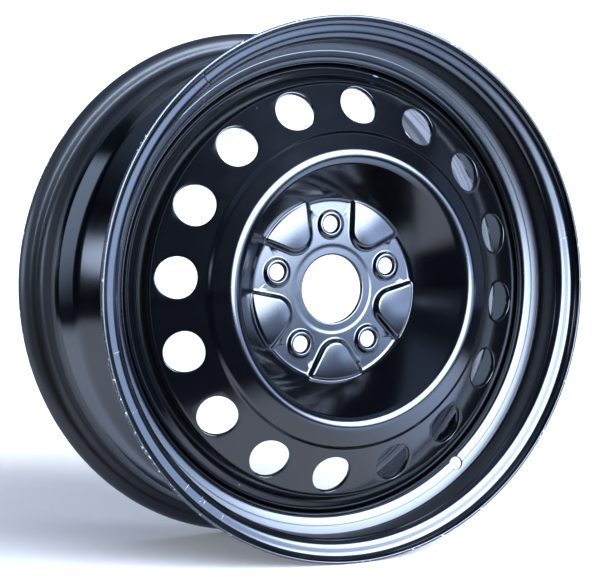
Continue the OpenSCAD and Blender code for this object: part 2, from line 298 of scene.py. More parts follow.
class Skin:
    """The points and faces of one sheet while it is built."""

    def __init__(self):
        self.points = []
        self.faces = []
        self.thin = {}

    def lay(self, rows):
        """Adds points, rows by columns, and returns their numbers."""
        rows = np.asarray(rows)
        first = len(self.points)
        self.points.extend(rows.reshape(-1, 3).tolist())
        return first + np.arange(rows.shape[0] * rows.shape[1]).reshape(rows.shape[:2])

    def thin_paint(self, ids, amounts):
        """Marks rows of points that the paint hardly covers."""
        for row, amount in zip(ids, amounts):
            self.thin.update((int(i), float(amount)) for i in row)

    def cover(self, ids, block=None):
        """Faces over a grid, but not over a block of it: first row, last row, first column, last column."""
        for i in range(len(ids) - 1):
            for j in range(len(ids[0]) - 1):
                if block and block[0] <= i < block[1] and block[2] <= j < block[3]:
                    continue
                self.faces.append((ids[i][j], ids[i][j + 1], ids[i + 1][j + 1], ids[i + 1][j]))

    def join(self, loops):
        """Faces between closed loops with as many points each."""
        for a, b in zip(loops, loops[1:]):
            for k in range(len(a)):
                n = (k + 1) % len(a)
                self.faces.append((a[k], a[n], b[n], b[k]))

    def halve(self, fine, coarse, closed):
        """Faces between a line and one with half as many steps."""
        for k in range(len(coarse) - (0 if closed else 1)):
            a, b, c = fine[2 * k], fine[2 * k + 1], fine[(2 * k + 2) % len(fine)]
            d, e = coarse[k], coarse[(k + 1) % len(coarse)]
            self.faces += [(a, b, d), (b, e, d), (b, c, e)]

    def mesh(self, name):
        mesh = bpy.data.meshes.new(name)
        mesh.from_pydata(self.points, [], [tuple(int(i) for i in f) for f in self.faces])
        layer = mesh.attributes.new("thin_paint", "FLOAT", "POINT")
        layer.data.foreach_set("value", [self.thin.get(i, 0.0) for i in range(len(self.points))])
        return mesh


def edge_of(grid, block):
    """The points around a block of a grid, in order."""
    r0, r1, c0, c1 = block
    grid = np.asarray(grid)
    return np.concatenate([grid[r0, c0:c1], grid[r0:r1, c1], grid[r1, c1:c0:-1], grid[r1:r0:-1, c0]])


def punch(skin, faces, lines, angles, hole, clear=0.0004):
    """Punches a round hole (row, radius, front edge, back edge) through a spun sheet.

    Returns the block of the sheet's grid that the hole takes.
    """
    row, radius, front_edge, back_edge = hole
    runs = [run_of(line) for line in lines]
    rows = np.arange(len(lines[0]))
    centres = [np.interp(row, rows, run) for run in runs]
    reach = radius + front_edge + clear
    first = int(np.searchsorted(runs[0], centres[0] - reach)) - 1
    last = int(np.searchsorted(runs[0], centres[0] + reach))
    wide = reach / lines[0][first:last + 1, 0].min()
    block = (first, last, int(np.searchsorted(angles, -wide)) - 1, int(np.searchsorted(angles, wide)))

    rim = []
    for line, run, centre in zip(lines, runs, centres):
        r, a = np.meshgrid(line[:, 0], angles, indexing="ij")
        u = np.broadcast_to((run - centre)[:, None], r.shape)
        rim.append((edge_of(u, block), edge_of(r * a, block)))
    bearing = np.arctan2(rim[0][1], rim[0][0])

    def on(side, u, v):
        r = np.interp(centres[side] + u, runs[side], lines[side][:, 0])
        along = np.interp(centres[side] + u, runs[side], lines[side][:, 1])
        return np.stack([r * np.cos(v / r), -along, r * np.sin(v / r)], axis=-1)

    def ring(side, rho):
        return on(side, rho * np.cos(bearing), rho * np.sin(bearing))

    def between(side, rho):
        u = 0.5 * (rim[side][0] + rho * np.cos(bearing))
        v = 0.5 * (rim[side][1] + rho * np.sin(bearing))
        return on(side, u, v)

    thickness = np.linalg.norm(ring(0, radius) - ring(1, radius), axis=1).min()
    rings = [between(0, radius + front_edge)]
    for side, edge, turns in ((0, front_edge, (0, 30, 60, 90)), (1, back_edge, (90, 45, 0))):
        for turn in np.radians(turns):
            rho = radius + edge * (1 - math.sin(turn))
            depth = edge * (1 - math.cos(turn)) / thickness
            rings.append(ring(side, rho) + depth * (ring(1 - side, rho) - ring(side, rho)))
    rings.append(between(1, radius + back_edge))
    loops = [skin.lay(r[None])[0] for r in rings]
    skin.join([edge_of(faces[0], block), *loops, edge_of(faces[1], block)])
    return block


def sheet_sector(lines, caps, span, cells, hole=None, thin=None):
    """One sector of a spun sheet, middle at angle 0, closed at its cut edges, with a hole if given."""
    skin = Skin()
    angles = np.linspace(-span / 2, span / 2, cells + 1)
    faces = [skin.lay(spun(line, angles)) for line in lines]
    if thin is not None:
        skin.thin_paint(faces[1], thin)
    block = punch(skin, faces, lines, angles, hole) if hole else None
    for face in faces:
        skin.cover(face, block)
    for row, cap in caps:
        edge = skin.lay(spun(cap, angles))
        skin.cover(np.vstack([faces[0][row], edge, faces[1][row]]))
    return skin


def lip_along(rim):
    """Distance of the rim's lips from mid width."""
    return rim.bead_width / 2 + rim.curl_bend + rim.curl_end


def well_inside(rim):
    """Radius of the well's inner face."""
    return rim.seat_radius - rim.well_depth - rim.sheet


def rim_corners(s, lip_share=0.4):
    """Corners of the rim's tyre side, from the outboard lip to the inboard lip.

    The outboard flange's lean is split: lip_share of it lies outside the bead width, at the lip.
    """
    flange_r = s.seat_radius + s.flange_height
    flange_a = s.bead_width / 2
    lip_a = lip_along(s)
    lip_lean = lip_share * s.flange_lean
    heel_lean = s.flange_lean - lip_lean
    foot_a = flange_a - s.seat_width
    foot_r = s.seat_radius - s.seat_width * math.tan(s.seat_slope)
    hump_a, hump_r = foot_a - s.hump_length, foot_r + s.hump_height
    wall_a = hump_a - s.hump_top
    well_r, well_a = s.seat_radius - s.well_depth, wall_a - s.wall_lean
    ledge_end_r, ledge_end_a = foot_r - s.ledge_dip, -foot_a + s.ledge_setback
    ledge_r = ledge_end_r - s.ledge_length * math.tan(s.seat_slope)
    return [
        (flange_r, lip_a, 0),
        (flange_r, flange_a + lip_lean, s.curl_bend),
        (s.seat_radius, flange_a - heel_lean, s.heel_bend),
        (foot_r, foot_a, s.hump_bend),
        (hump_r, hump_a, s.hump_bend),
        (hump_r, wall_a, s.wall_bend),
        (well_r, well_a, s.well_bend),
        (well_r, well_a - s.well_length, s.ramp_bend),
        (ledge_r, ledge_end_a + s.ledge_length, s.ledge_bend),
        (ledge_end_r, ledge_end_a, s.hump_bend),
        (hump_r, -hump_a, s.hump_bend),
        (foot_r, -foot_a, s.hump_bend),
        (s.seat_radius, -flange_a, s.heel_bend),
        (flange_r, -flange_a + s.rear_lean, s.curl_bend),
        (flange_r, -lip_a, 0),
    ]


def disc_corners(s, rim):
    """Corners of the disc's outboard side, from the bore to the inboard end of its flange."""
    lip_a = lip_along(rim)
    flange_r = well_inside(rim) - s.fit_gap
    face_a = s.mounting_face + s.sheet
    step_a = lip_a - s.step_depth
    crest_a = step_a + (s.step_radius - s.crest_radius) * math.tan(s.crest_slope)
    foot_r, foot_a = s.step_radius + s.step_width, step_a - s.step_height
    bend_r = flange_r - s.edge_bend
    bend_a = foot_a - (bend_r - foot_r) * math.tan(s.vent_slope)
    ledge_a = bend_a - s.ledge_drop
    return [
        (s.bore_radius, face_a, 0),
        (s.bowl_foot, face_a, s.bowl_bend),
        (s.crest_radius, crest_a, s.crest_bend),
        (s.step_radius, step_a, s.sheet + s.step_edge),
        (foot_r, foot_a, s.sheet),
        (bend_r, bend_a, s.bend),
        (flange_r - s.ledge_width, ledge_a, s.ledge_corner),
        (flange_r, ledge_a - s.ledge_fall, s.flange_bend),
        (flange_r, s.flange_end, 0),
    ]


def eased(x, soft):
    """From 0 to 1, straight but for a bend at each end that takes the share soft."""
    x = np.clip(x, 0, 1)
    rate = 1 / (1 - soft)
    early = rate * x * x / (2 * soft)
    late = 1 - rate * (1 - x) ** 2 / (2 * soft)
    straight = rate * (x - soft / 2)
    return np.where(x < soft, early, np.where(x > 1 - soft, late, straight))


def both(a, b, sharpness=6):
    """The higher of two rises, with a small fillet where they cross."""
    return (np.maximum(a, 0) ** sharpness + np.maximum(b, 0) ** sharpness) ** (1 / sharpness)


# Each pad: rounding at its outer corners, how far its crown lies outside its middle, the distance at
# which its top has fallen by the crown, and its least height
PAD_CORNER = 0.003
CROWN_SHIFT = 0.006
CROWN_REACH = 0.017
PAD_LEAST = 0.001


def pad_rise(x, y, hub, inset):
    """Height of the pads above the hub face at (x, y), with the lug at angle 0."""
    radius = np.hypot(x, y)
    off = math.pi / hub.lug_count - np.abs(np.arctan2(y, x))
    across, along = np.abs(radius * np.sin(off)), radius * np.cos(off)
    up = along - hub.pad_inner - hub.pad_round
    c, s = math.cos(hub.pad_flare), math.sin(hub.pad_flare)
    inner = hub.pad_round - np.where(across * s + up * c < 0, np.hypot(across, up), across * c - up * s)
    outer = hub.pad_outer - radius
    corner = np.maximum(PAD_CORNER - np.abs(inner - outer), 0) ** 2 / (4 * PAD_CORNER)
    depth = np.minimum(inner, outer) - corner - inset
    middle = (hub.pad_inner + hub.pad_outer) / 2 + CROWN_SHIFT
    crown = hub.pad_crown * (np.hypot(across, along - middle) / CROWN_REACH) ** 2
    top = hub.pad_height + (along - hub.pad_inner) * math.tan(hub.pad_rise) - crown
    return eased(depth / hub.flank, hub.flank_soft) * np.maximum(top, PAD_LEAST)


def graded(stops, steps):
    """Radii from the first stop to the last, with a number of even steps between each two."""
    parts = [np.linspace(a, b, n + 1)[1:] for a, b, n in zip(stops, stops[1:], steps)]
    return np.concatenate([stops[:1], *parts])


# Grid of one lug's share of the hub: cells around the axle, steps inside, beside and outside the lug
HUB_CELLS = 96
HUB_STEPS = (10, 32, 16)
# The block of that grid which the lug's rings take, to either side of the lug
LUG_REACH = 0.016
LUG_CELLS = 22
# Share of its ramp that the bends of a boss and of the coined ring take
BOSS_SOFT = 0.35
COIN_SOFT = 0.4
# Broken edges, and distances between a form's foot and the next row of points
EDGE = 0.0002
BOSS_MARGIN = 0.0007
MOUTH_MARGIN = 0.0003
DIMPLE_MARGIN = 0.0012
JOINT_MARGIN = 0.0011
BOSS_RINGS = 11


def hub_sector(disc, hub, lines, joint, twist):
    """One lug's share of the hub, lug at angle 0, out to row joint of the disc's lines.

    twist turns its last row, which meets the points of the vent ring.
    """
    front, back = lines
    face_a, rear_a = disc.mounting_face + disc.sheet, disc.mounting_face
    land = hub.mouth_radius + hub.boss_land
    coin_end = disc.bore_radius + disc.coin_width
    skin = Skin()

    def front_at(x, y):
        radius, rho = np.hypot(x, y), np.hypot(x - hub.lug_circle, y)
        wall = np.interp(radius, front[:joint + 1, 0], front[:joint + 1, 1]) - face_a
        boss = hub.boss_height * (1 - eased((rho - land) / (hub.boss_radius - land), BOSS_SOFT))
        coin = disc.coin_depth * (1 - eased((radius - coin_end) / disc.coin_ramp, COIN_SOFT))
        return np.stack([x, -(face_a + both(wall, pad_rise(x, y, hub, 0)) + boss - coin), y], axis=-1)

    def rear_at(x, y):
        wall = np.interp(np.hypot(x, y), back[:joint + 1, 0], back[:joint + 1, 1]) - rear_a
        return np.stack([x, -(rear_a + both(wall, pad_rise(x, y, hub, hub.hollow_inset))), y], axis=-1)

    def about_lug(rho, bearings):
        return hub.lug_circle + rho * np.cos(bearings), rho * np.sin(bearings)

    half = math.pi / hub.lug_count
    fine = np.linspace(-half, half, HUB_CELLS + 1)
    coarse = fine[::2]
    beside = (hub.lug_circle - LUG_REACH, hub.lug_circle + LUG_REACH)
    radii = graded((disc.bore_radius + disc.bore_edge, *beside, front[joint, 0] - JOINT_MARGIN), HUB_STEPS)
    r, t = np.meshgrid(radii, fine, indexing="ij")
    x, y = r * np.cos(t), r * np.sin(t)
    face = skin.lay(front_at(x, y))
    row, column = HUB_STEPS[0], HUB_CELLS // 2
    block = (row, row + HUB_STEPS[1], column - LUG_CELLS, column + LUG_CELLS)
    skin.cover(face, block)

    rear_steps = [n // 2 for n in HUB_STEPS]
    radii = graded((disc.bore_radius + 2 * EDGE, *beside, back[joint, 0]), rear_steps)[:-1]
    r, t = np.meshgrid(radii, coarse, indexing="ij")
    rear = skin.lay(rear_at(r * np.cos(t), r * np.sin(t)))
    rear_block = tuple(n // 2 for n in block)
    skin.cover(rear, rear_block)

    edge_x, edge_y = edge_of(x, block), edge_of(y, block)
    bearing = np.arctan2(edge_y, edge_x - hub.lug_circle)
    foot = hub.boss_radius + BOSS_MARGIN
    foot_x, foot_y = about_lug(foot, bearing)
    rings = [front_at((edge_x + foot_x) / 2, (edge_y + foot_y) / 2)]
    for rho in np.linspace(foot, hub.mouth_radius + MOUTH_MARGIN, BOSS_RINGS):
        rings.append(front_at(*about_lug(rho, bearing)))
    top = face_a + hub.boss_height
    throat = top - (hub.mouth_radius - hub.lug_radius) / math.tan(hub.seat_cone / 2)
    floor_a = face_a - hub.dimple_wall
    for rho, along in (
        (hub.mouth_radius - EDGE / 5, top - EDGE),
        (hub.lug_radius + EDGE, throat + 1.75 * EDGE),
        (hub.lug_radius, throat - EDGE / 2),
        (hub.lug_radius, floor_a + EDGE),
        (hub.lug_radius + EDGE, floor_a),
        (hub.dimple_radius - (floor_a - rear_a), floor_a),
        (hub.dimple_radius - EDGE, rear_a + EDGE),
        (hub.dimple_radius + EDGE, rear_a),
    ):
        ring_x, ring_y = about_lug(rho, bearing)
        rings.append(np.stack([ring_x, 0 * ring_x - along, ring_y], axis=-1))
    loops = [skin.lay(points[None])[0] for points in rings]
    skin.join([edge_of(face, block), *loops])
    last = rear_at(*about_lug(hub.dimple_radius + DIMPLE_MARGIN, bearing[::2]))
    last = skin.lay(last[None])[0]
    skin.halve(loops[-1], last, True)
    skin.join([last, edge_of(rear, rear_block)])

    edge, floor_a = disc.bore_edge, face_a - disc.coin_depth
    wall = [(disc.bore_radius + edge * (1 - math.sin(b)), floor_a - edge * (1 - math.cos(b)))
            for b in np.radians([30, 60, 90])]
    wall += [(disc.bore_radius, rear_a + 2 * EDGE), (disc.bore_radius + EDGE / 2, rear_a + EDGE / 2)]
    bore = skin.lay(spun(np.array(wall), fine))
    skin.cover(np.vstack([face[0], bore]))
    skin.halve(bore[-1], rear[0], False)

    face_end = skin.lay(spun(front[joint:joint + 1], coarse + twist))[0]
    rear_end = skin.lay(spun(back[joint:joint + 1], coarse + twist))[0]
    skin.halve(face[-1], face_end, False)
    skin.cover(np.vstack([rear[-1], rear_end]))
    return skin


def weld_sector(weld, rim, disc, blunt=0.02):
    """One rippled bead, middle at angle 0. blunt keeps its ends from closing to a point."""
    wall_r = well_inside(rim) - weld.gap
    floor_a = disc.flange_end - weld.gap
    steps = 4 * round(weld.arc * wall_r / weld.ripple)
    skin = Skin()
    rows = []
    for i in range(steps + 1):
        along = i / steps
        end = min(along, 1 - along) * weld.arc * wall_r / weld.leg
        size = weld.leg * math.sqrt(max(blunt, 1 - max(0, 1 - end) ** 2))
        wave = 0.5 + 0.5 * math.cos(math.pi * i / 2)
        uneven = 0.7 + 0.3 * math.sin(1.7 * i)
        ripple = weld.ripple_depth * wave * uneven
        turn = (along - 0.5) * weld.arc
        arc = [(wall_r, floor_a)]
        for b in np.radians(np.arange(180, 271, 11.25)):
            size_here = size - ripple * math.sin(2 * (b - math.pi))
            arc.append((wall_r + size_here * math.cos(b), floor_a + size_here * math.sin(b)))
        rows.append(spun(np.array(arc), np.array([turn]))[:, 0])
    ids = skin.lay(np.array(rows))
    skin.cover(np.hstack([ids, ids[:, :1]]))
    for row in (ids[0], ids[-1]):
        skin.faces.append(tuple(row))
    return skin


class Wire:
    """A socket in a node tree. Arithmetic on it adds Math nodes."""

    def __init__(self, nodes, socket):
        self.nodes = nodes
        self.socket = socket

    def math(self, operation, *others):
        return self.nodes.add("ShaderNodeMath", dict(enumerate((self, *others))), {"operation": operation})

    def __add__(self, other):
        return self.math("ADD", other)

    __radd__ = __add__

    def __mul__(self, other):
        return self.math("MULTIPLY", other)

    __rmul__ = __mul__

    def __sub__(self, other):
        return self.math("SUBTRACT", other)

    def __rsub__(self, other):
        return self.nodes.add("ShaderNodeMath", {0: other, 1: self}, {"operation": "SUBTRACT"})

    def __pow__(self, other):
        return self.math("POWER", other)

    def __abs__(self):
        return self.math("ABSOLUTE")

    def other(self, output):
        """Another output of the same node."""
        return Wire(self.nodes, self.socket.node.outputs[output])

    def above(self, level, soft):
        """0 below level, 1 from level + soft on, smooth between."""
        limits = {0: self, 1: level, 2: level + soft, 3: 0.0, 4: 1.0}
        return self.nodes.add("ShaderNodeMapRange", limits, {"interpolation_type": "SMOOTHSTEP"})

    def near(self, middle, width):
        """1 at middle, falling smoothly to 0 at width on either side."""
        return 1 - abs(self - middle).above(0.0, width)


class Nodes:
    """One node tree, filled node by node."""

    def __init__(self, tree):
        self.tree = tree
        tree.nodes.clear()

    def add(self, kind, inputs=None, settings=None, output=0):
        node = self.tree.nodes.new(kind)
        for key, value in (settings or {}).items():
            setattr(node, key, value)
        for key, value in (inputs or {}).items():
            if isinstance(value, Wire):
                self.tree.links.new(value.socket, node.inputs[key])
            else:
                node.inputs[key].default_value = value
        return Wire(self, node.outputs[output]) if node.outputs else None

    def mix(self, amount, first, second):
        return self.add("ShaderNodeMix", {0: amount, 6: first, 7: second}, {"data_type": "RGBA"}, 2)

    def blend(self, amount, first, second):
        return self.add("ShaderNodeMixShader", {0: amount, 1: first, 2: second})


def added(name, data):
    """A new object in the scene."""
    item = bpy.data.objects.new(name, data)
    bpy.context.scene.collection.objects.link(item)
    return item


def repeat_tree():
    """Geometry Nodes: copies of a sector, turned about the axle and welded to each other."""
    tree = bpy.data.node_groups.new("repeat_around_axle", "GeometryNodeTree")
    for name, value in (("Sector", "Geometry"), ("Count", "Int"), ("First Angle", "Float"),
                        ("Turn", "Float"), ("Weld Distance", "Float")):
        tree.interface.new_socket(name, in_out="INPUT", socket_type="NodeSocket" + value)
    tree.interface.new_socket("Piece", in_out="OUTPUT", socket_type="NodeSocketGeometry")
    nodes = Nodes(tree)
    given = nodes.add("NodeGroupInput")
    points = nodes.add("GeometryNodePoints", {"Count": given.other("Count")})
    about = nodes.add("GeometryNodeInputIndex") * given.other("Turn") - given.other("First Angle")
    euler = nodes.add("ShaderNodeCombineXYZ", {"Y": about})
    turn = nodes.add("FunctionNodeEulerToRotation", {0: euler})
    copies = nodes.add("GeometryNodeInstanceOnPoints", {
        "Points": points, "Instance": given.other("Sector"), "Rotation": turn})
    solid = nodes.add("GeometryNodeRealizeInstances", {0: copies})
    welded = nodes.add("GeometryNodeMergeByDistance", {
        "Geometry": solid, "Distance": given.other("Weld Distance")})
    nodes.add("NodeGroupOutput", {0: welded})
    return tree


def repeated(skin, name, count, first, turn):
    """The mesh of count copies of a sector, the first at angle first and each next one turn behind it."""
    tree = bpy.data.node_groups.get("repeat_around_axle") or repeat_tree()
    piece = added(name, skin.mesh(name))
    maker = piece.modifiers.new("Repeat", "NODES")
    maker.node_group = tree
    values = {"Count": count, "First Angle": first, "Turn": turn, "Weld Distance": WELD_DISTANCE}
    for item in tree.interface.items_tree:
        if item.in_out == "INPUT" and item.name in values:
            maker[item.identifier] = values[item.name]
    bpy.context.view_layer.update()
    made = bpy.data.meshes.new_from_object(piece.evaluated_get(bpy.context.evaluated_depsgraph_get()))
    sector = piece.data
    bpy.data.objects.remove(piece)
    bpy.data.meshes.remove(sector)
    return made


def one_mesh(name, meshes, finish):
    """Joins meshes at their seams into one closed mesh whose faces point outwards."""
    work = bmesh.new()
    for mesh in meshes:
        work.from_mesh(mesh)
        bpy.data.meshes.remove(mesh)
    bmesh.ops.remove_doubles(work, verts=work.verts, dist=WELD_DISTANCE)
    bmesh.ops.recalc_face_normals(work, faces=work.faces)
    if work.calc_volume(signed=True) < 0:
        bmesh.ops.reverse_faces(work, faces=work.faces)
    for face in work.faces:
        face.smooth = True
    mesh = bpy.data.meshes.new(name)
    work.to_mesh(mesh)
    loose = sum(1 for edge in work.edges if len(edge.link_faces) != 2)
    work.free()
    if loose:
        raise RuntimeError(f"{name} has {loose} edges that don't close")
    mesh.materials.append(finish)
    return mesh


def place(name, meshes, finish, node):
    """Joins a finished piece and puts it in the scene in place of its CAD node."""
    piece = added(name, one_mesh(name, meshes, finish))
    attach(piece, "root")
    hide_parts(node)


class Finish(Nodes):
    """The shader of one material, with the places that its patterns follow."""

    def __init__(self, name):
        self.material = bpy.data.materials.new(name)
        self.material.use_nodes = True
        super().__init__(self.material.node_tree)
        self.place = self.add("ShaderNodeTexCoord", output="Object")
        parts = self.add("ShaderNodeSeparateXYZ", {0: self.place})
        self.x, self.y, self.z = (parts.other(i) for i in range(3))
        self.radius = (self.x * self.x + self.z * self.z) ** 0.5
        self.turn = self.z.math("ARCTAN2", self.x)

    def noise(self, scale, detail=2.0, vector=None):
        return self.add("ShaderNodeTexNoise", {
            "Vector": vector or self.place, "Scale": scale, "Detail": detail})

    def specks(self, scale, size, rare):
        """Small round marks, about one in each cell of 1/scale metres, left out where rare is high."""
        cells = self.add("ShaderNodeTexVoronoi", {
            "Vector": self.place, "Scale": scale, "Randomness": 1.0})
        pick = self.add("ShaderNodeSeparateColor", {0: cells.other("Color")})
        return (1 - cells.above(size * 0.5, size * 0.5)) * pick.above(rare, 0.02)

    def rolled(self, across, around):
        """Coordinates that run fine across the profile and coarse around the axle."""
        return self.add("ShaderNodeCombineXYZ", {
            0: self.radius * across, 1: self.y * across, 2: self.turn * around})

    def arc(self, degrees):
        """Distance along the circle from an angle, in metres, wrapped at half a turn."""
        off = self.turn - math.radians(degrees)
        return off.math("WRAP", math.pi, -math.pi) * self.radius

    def stroke(self, degrees, inner, outer, half_width, soft=0.0006):
        """A straight mark that runs out from the axle between two radii."""
        across = 1 - abs(self.arc(degrees)).above(half_width * 0.4, half_width * 0.6)
        return across * self.radius.above(inner, soft) * (1 - self.radius.above(outer, soft))

    def peel(self, scale, depth):
        """Height of the paint's fine orange peel and of its longer waves."""
        return self.noise(1500.0, 1.0) * 0.012 + self.noise(scale, 1.0) * depth

    def dust(self, specks, scale):
        """Specks, and a faint film where a noise of this scale is high."""
        film = (self.noise(scale, 3.0) - 0.45).above(0.18, 0.3) * 0.02
        return (specks * 0.8 + film).math("MINIMUM", 1.0)

    def paint(self, colour, roughness, height, look, metal=0.0, depth=0.001):
        bump = self.add("ShaderNodeBump", {"Strength": 1.0, "Distance": depth, "Height": height})
        surface = self.add("ShaderNodeBsdfPrincipled", {
            "Base Color": colour, "Roughness": roughness, "Metallic": metal, "IOR": 1.52,
            "Coat Weight": look.coat, "Coat Roughness": look.coat_roughness,
            "Normal": bump, "Coat Normal": bump})
        self.add("ShaderNodeOutputMaterial", {0: surface})
        return self.material


def rgba(shade):
    return (*shade, 1.0)


# Marks seen in the photo: angle seen from outboard in degrees, inner and outer radius, half width
FLANGE_SCRATCHES = (
    (-168.2, 0.2212, 0.2264, 0.0004),
    (-155.1, 0.2214, 0.2260, 0.0003),
    (-134.6, 0.2208, 0.2266, 0.0003),
    (-130.2, 0.2204, 0.2268, 0.0004),
    (-129.2, 0.2210, 0.2258, 0.0004),
    (-123.8, 0.2218, 0.2264, 0.0003),
    (11.1, 0.2214, 0.2296, 0.0003),
)
LEDGE_FLECKS = (
    (81.4, 0.1965, 0.1978, 0.0030),
    (76.7, 0.1920, 0.1932, 0.0034),
    (-118.6, 0.1894, 0.1904, 0.0010),
)

# The rim's seam: half its width and that of the ground zone
SEAM_HALF = 0.0016
GROUND_HALF = 0.011
# The crease beside the valve hole: depth below the bead seat, half its width
CREASE_DEPTH = 0.0098
CREASE_HALF = 0.0007
# Distances from mid width, outboard, from which the crease and the scratches show
CREASE_START = 0.05
SCRATCH_START = 0.08
# The lips' knocked edges, inside the lip's radius and its end, and the angle of the most nicked part
KNOCK_DEPTH = 0.0016
KNOCK_WIDTH = 0.0034
NICK_ANGLE = -155
# Dull paint: how far it reaches past the seats' feet toward mid width, and its width outboard
DULL_REACH = 0.012
DULL_WIDTH = 0.03


def rim_paint(look, sizes):
    """Black paint over a rolled hoop: rolling lines, a ground weld seam, knocked lips and dust."""
    f = Finish("rim_paint")
    lip_r = sizes.seat_radius + sizes.flange_height
    lip_a = lip_along(sizes)
    dull_a = sizes.bead_width / 2 - sizes.seat_width - DULL_REACH
    outboard = -1 * f.y
    rolling = f.noise(1.0, 3.0, f.rolled(1100.0, 1.2))
    off_seam = abs(f.arc(math.degrees(look.seam_angle)))
    ragged = (f.noise(420.0, 2.0) - 0.5) * SEAM_HALF
    seam = (off_seam + ragged).near(0.0, SEAM_HALF)
    ground = off_seam.near(0.0, GROUND_HALF) * f.noise(1.0, 2.0, f.rolled(2600.0, 30.0))
    at_crease = f.radius.near(sizes.seat_radius - CREASE_DEPTH, CREASE_HALF)
    crease = at_crease * outboard.above(CREASE_START, 0.003)
    height = f.peel(38.0, 0.03) + rolling * 0.002 + seam * 0.11 + ground * 0.02 - crease * 0.12

    edge = f.radius.above(lip_r - KNOCK_DEPTH, 0.0006) * abs(f.y).above(lip_a - KNOCK_WIDTH, 0.001)
    chips = f.noise(260.0, 3.0).above(0.6, 0.02) * f.noise(24.0, 1.0).above(0.47, 0.1)
    low_left = 1 - abs(f.arc(NICK_ANGLE)).above(0.11, 0.06)
    nicks = f.noise(480.0, 2.0).above(0.66, 0.03) * low_left
    scratches = sum(f.stroke(*mark) for mark in FLANGE_SCRATCHES) * outboard.above(SCRATCH_START, 0.004)
    broken = f.noise(700.0, 2.0).above(0.4, 0.2) * 0.5
    worn = (edge * (chips + nicks) + scratches * broken).math("MINIMUM", 1.0)
    dust = f.dust(f.specks(120.0, 0.055, 0.93) + f.specks(300.0, 0.06, 0.975), 90.0)
    streaks = f.noise(1.0, 3.0, f.rolled(160.0, 2.0)).above(0.3, 0.25)
    thin = f.add("ShaderNodeAttribute", None, {"attribute_name": "thin_paint"}, "Fac") * streaks
    shade = f.mix(worn, f.mix(dust, rgba(look.black), rgba(look.dust)), rgba(look.worn))
    shade = f.mix(thin, shade, rgba(look.thin))

    uneven = (f.noise(70.0, 2.0) - 0.5) * 0.05 + (rolling - 0.5) * 0.05
    rough = uneven + dust * 0.3 + worn * 0.2 + look.roughness
    below_seat = 1 - f.radius.above(sizes.seat_radius - 0.001, 0.0015)
    dull = outboard.above(dull_a, 0.004) * f.y.above(-dull_a - DULL_WIDTH, 0.004) * below_seat
    dull = dull + f.y.above(dull_a, 0.004) * 1.4
    return f.paint(shade, rough + thin * 0.12 + dull * 0.3 + edge * 0.35, height, look, thin * 0.7)


def disc_paint(look):
    """Black paint over a pressed plate: draw lines around the axle, orange peel, specks and dust."""
    f = Finish("disc_paint")
    drawn = f.noise(1.0, 2.0, f.rolled(700.0, 1.6))
    height = f.peel(34.0, 0.035) + drawn * 0.0026
    specks = f.specks(110.0, 0.05, 0.94) + f.specks(280.0, 0.06, 0.975)
    dust = f.dust(specks + sum(f.stroke(*mark) for mark in LEDGE_FLECKS), 80.0)
    shade = f.mix(dust, rgba(look.black), rgba(look.dust))
    rough = (f.noise(60.0, 2.0) - 0.5) * 0.06 + (drawn - 0.5) * 0.03 + dust * 0.3 + look.roughness
    return f.paint(shade, rough, height, look)


def weld_paint(look):
    """Thin paint over weld metal: duller, with spatter."""
    f = Finish("weld_paint")
    grain = f.noise(900.0, 3.0)
    spatter = f.specks(420.0, 0.3, 0.86)
    shade = f.mix(grain.above(0.6, 0.1) * 0.4, rgba(look.weld), rgba(look.dust))
    rough = (f.noise(150.0, 2.0) - 0.5) * 0.15 + (look.roughness + 0.12)
    return f.paint(shade, rough, grain * 0.03 + spatter * 0.08, look)


# Place of the steep wall's top among the rim's corners, and the wall's foot next to it
WALL_TOP = 5
WALL_FOOT = 6
# Cells around the axle in one sector of the rim and of the vent ring
RIM_CELLS = 8
VENT_CELLS = 15
# Thin paint in the barrel: distance of its inboard end from mid width, and the fades at its ends
THIN_END = 0.088
THIN_FADES = (0.004, 0.006)
# Distance of the hub's joint outside the pads, and rounding at the back of the vents
JOINT_REACH = 0.003
VENT_BACK_EDGE = 0.0003


class WHEEL_OT_rim(bpy.types.Operator):
    """Rolls the rim from its profile and punches the valve hole"""

    bl_idname = "wheel.rim"
    bl_label = "Rim"

    def execute(self, context):
        s, look = context.scene.wheel_rim, context.scene.wheel_paint
        corners = rim_corners(s)
        lines = sheet_lines(corners, s.sheet)
        caps = [(row, round_end(*lines, row, edge=s.lip_edge)) for row in (0, -1)]
        top, foot = corners[WALL_TOP], corners[WALL_FOOT]
        hole_r = top[0] + s.valve_place * (foot[0] - top[0])
        first = int(np.argmin(np.abs(lines[0][:, 1] - top[1])))
        wall = range(first, first + int(np.argmin(lines[0][first:, 0])))
        row = np.interp(-hole_r, [-lines[0][i, 0] for i in wall], list(wall))
        span = 2 * math.pi / s.sectors
        hole = (row, s.valve_radius, s.valve_edge, s.valve_edge)
        along = lines[1][:, 1]
        behind_disc = np.clip((context.scene.wheel_disc.flange_end - along) / THIN_FADES[0], 0, 1)
        thin = behind_disc * np.clip((along + THIN_END) / THIN_FADES[1], 0, 1)
        pierced = repeated(sheet_sector(lines, caps, span, RIM_CELLS, hole, thin),
                           "rim_valve_sector", 1, s.valve_angle, span)
        plain = repeated(sheet_sector(lines, caps, span, RIM_CELLS, None, thin),
                         "rim_sector", s.sectors - 1, s.valve_angle - span, span)
        place("rim_hoop", [pierced, plain], rim_paint(look, s), "rim")
        return {"FINISHED"}


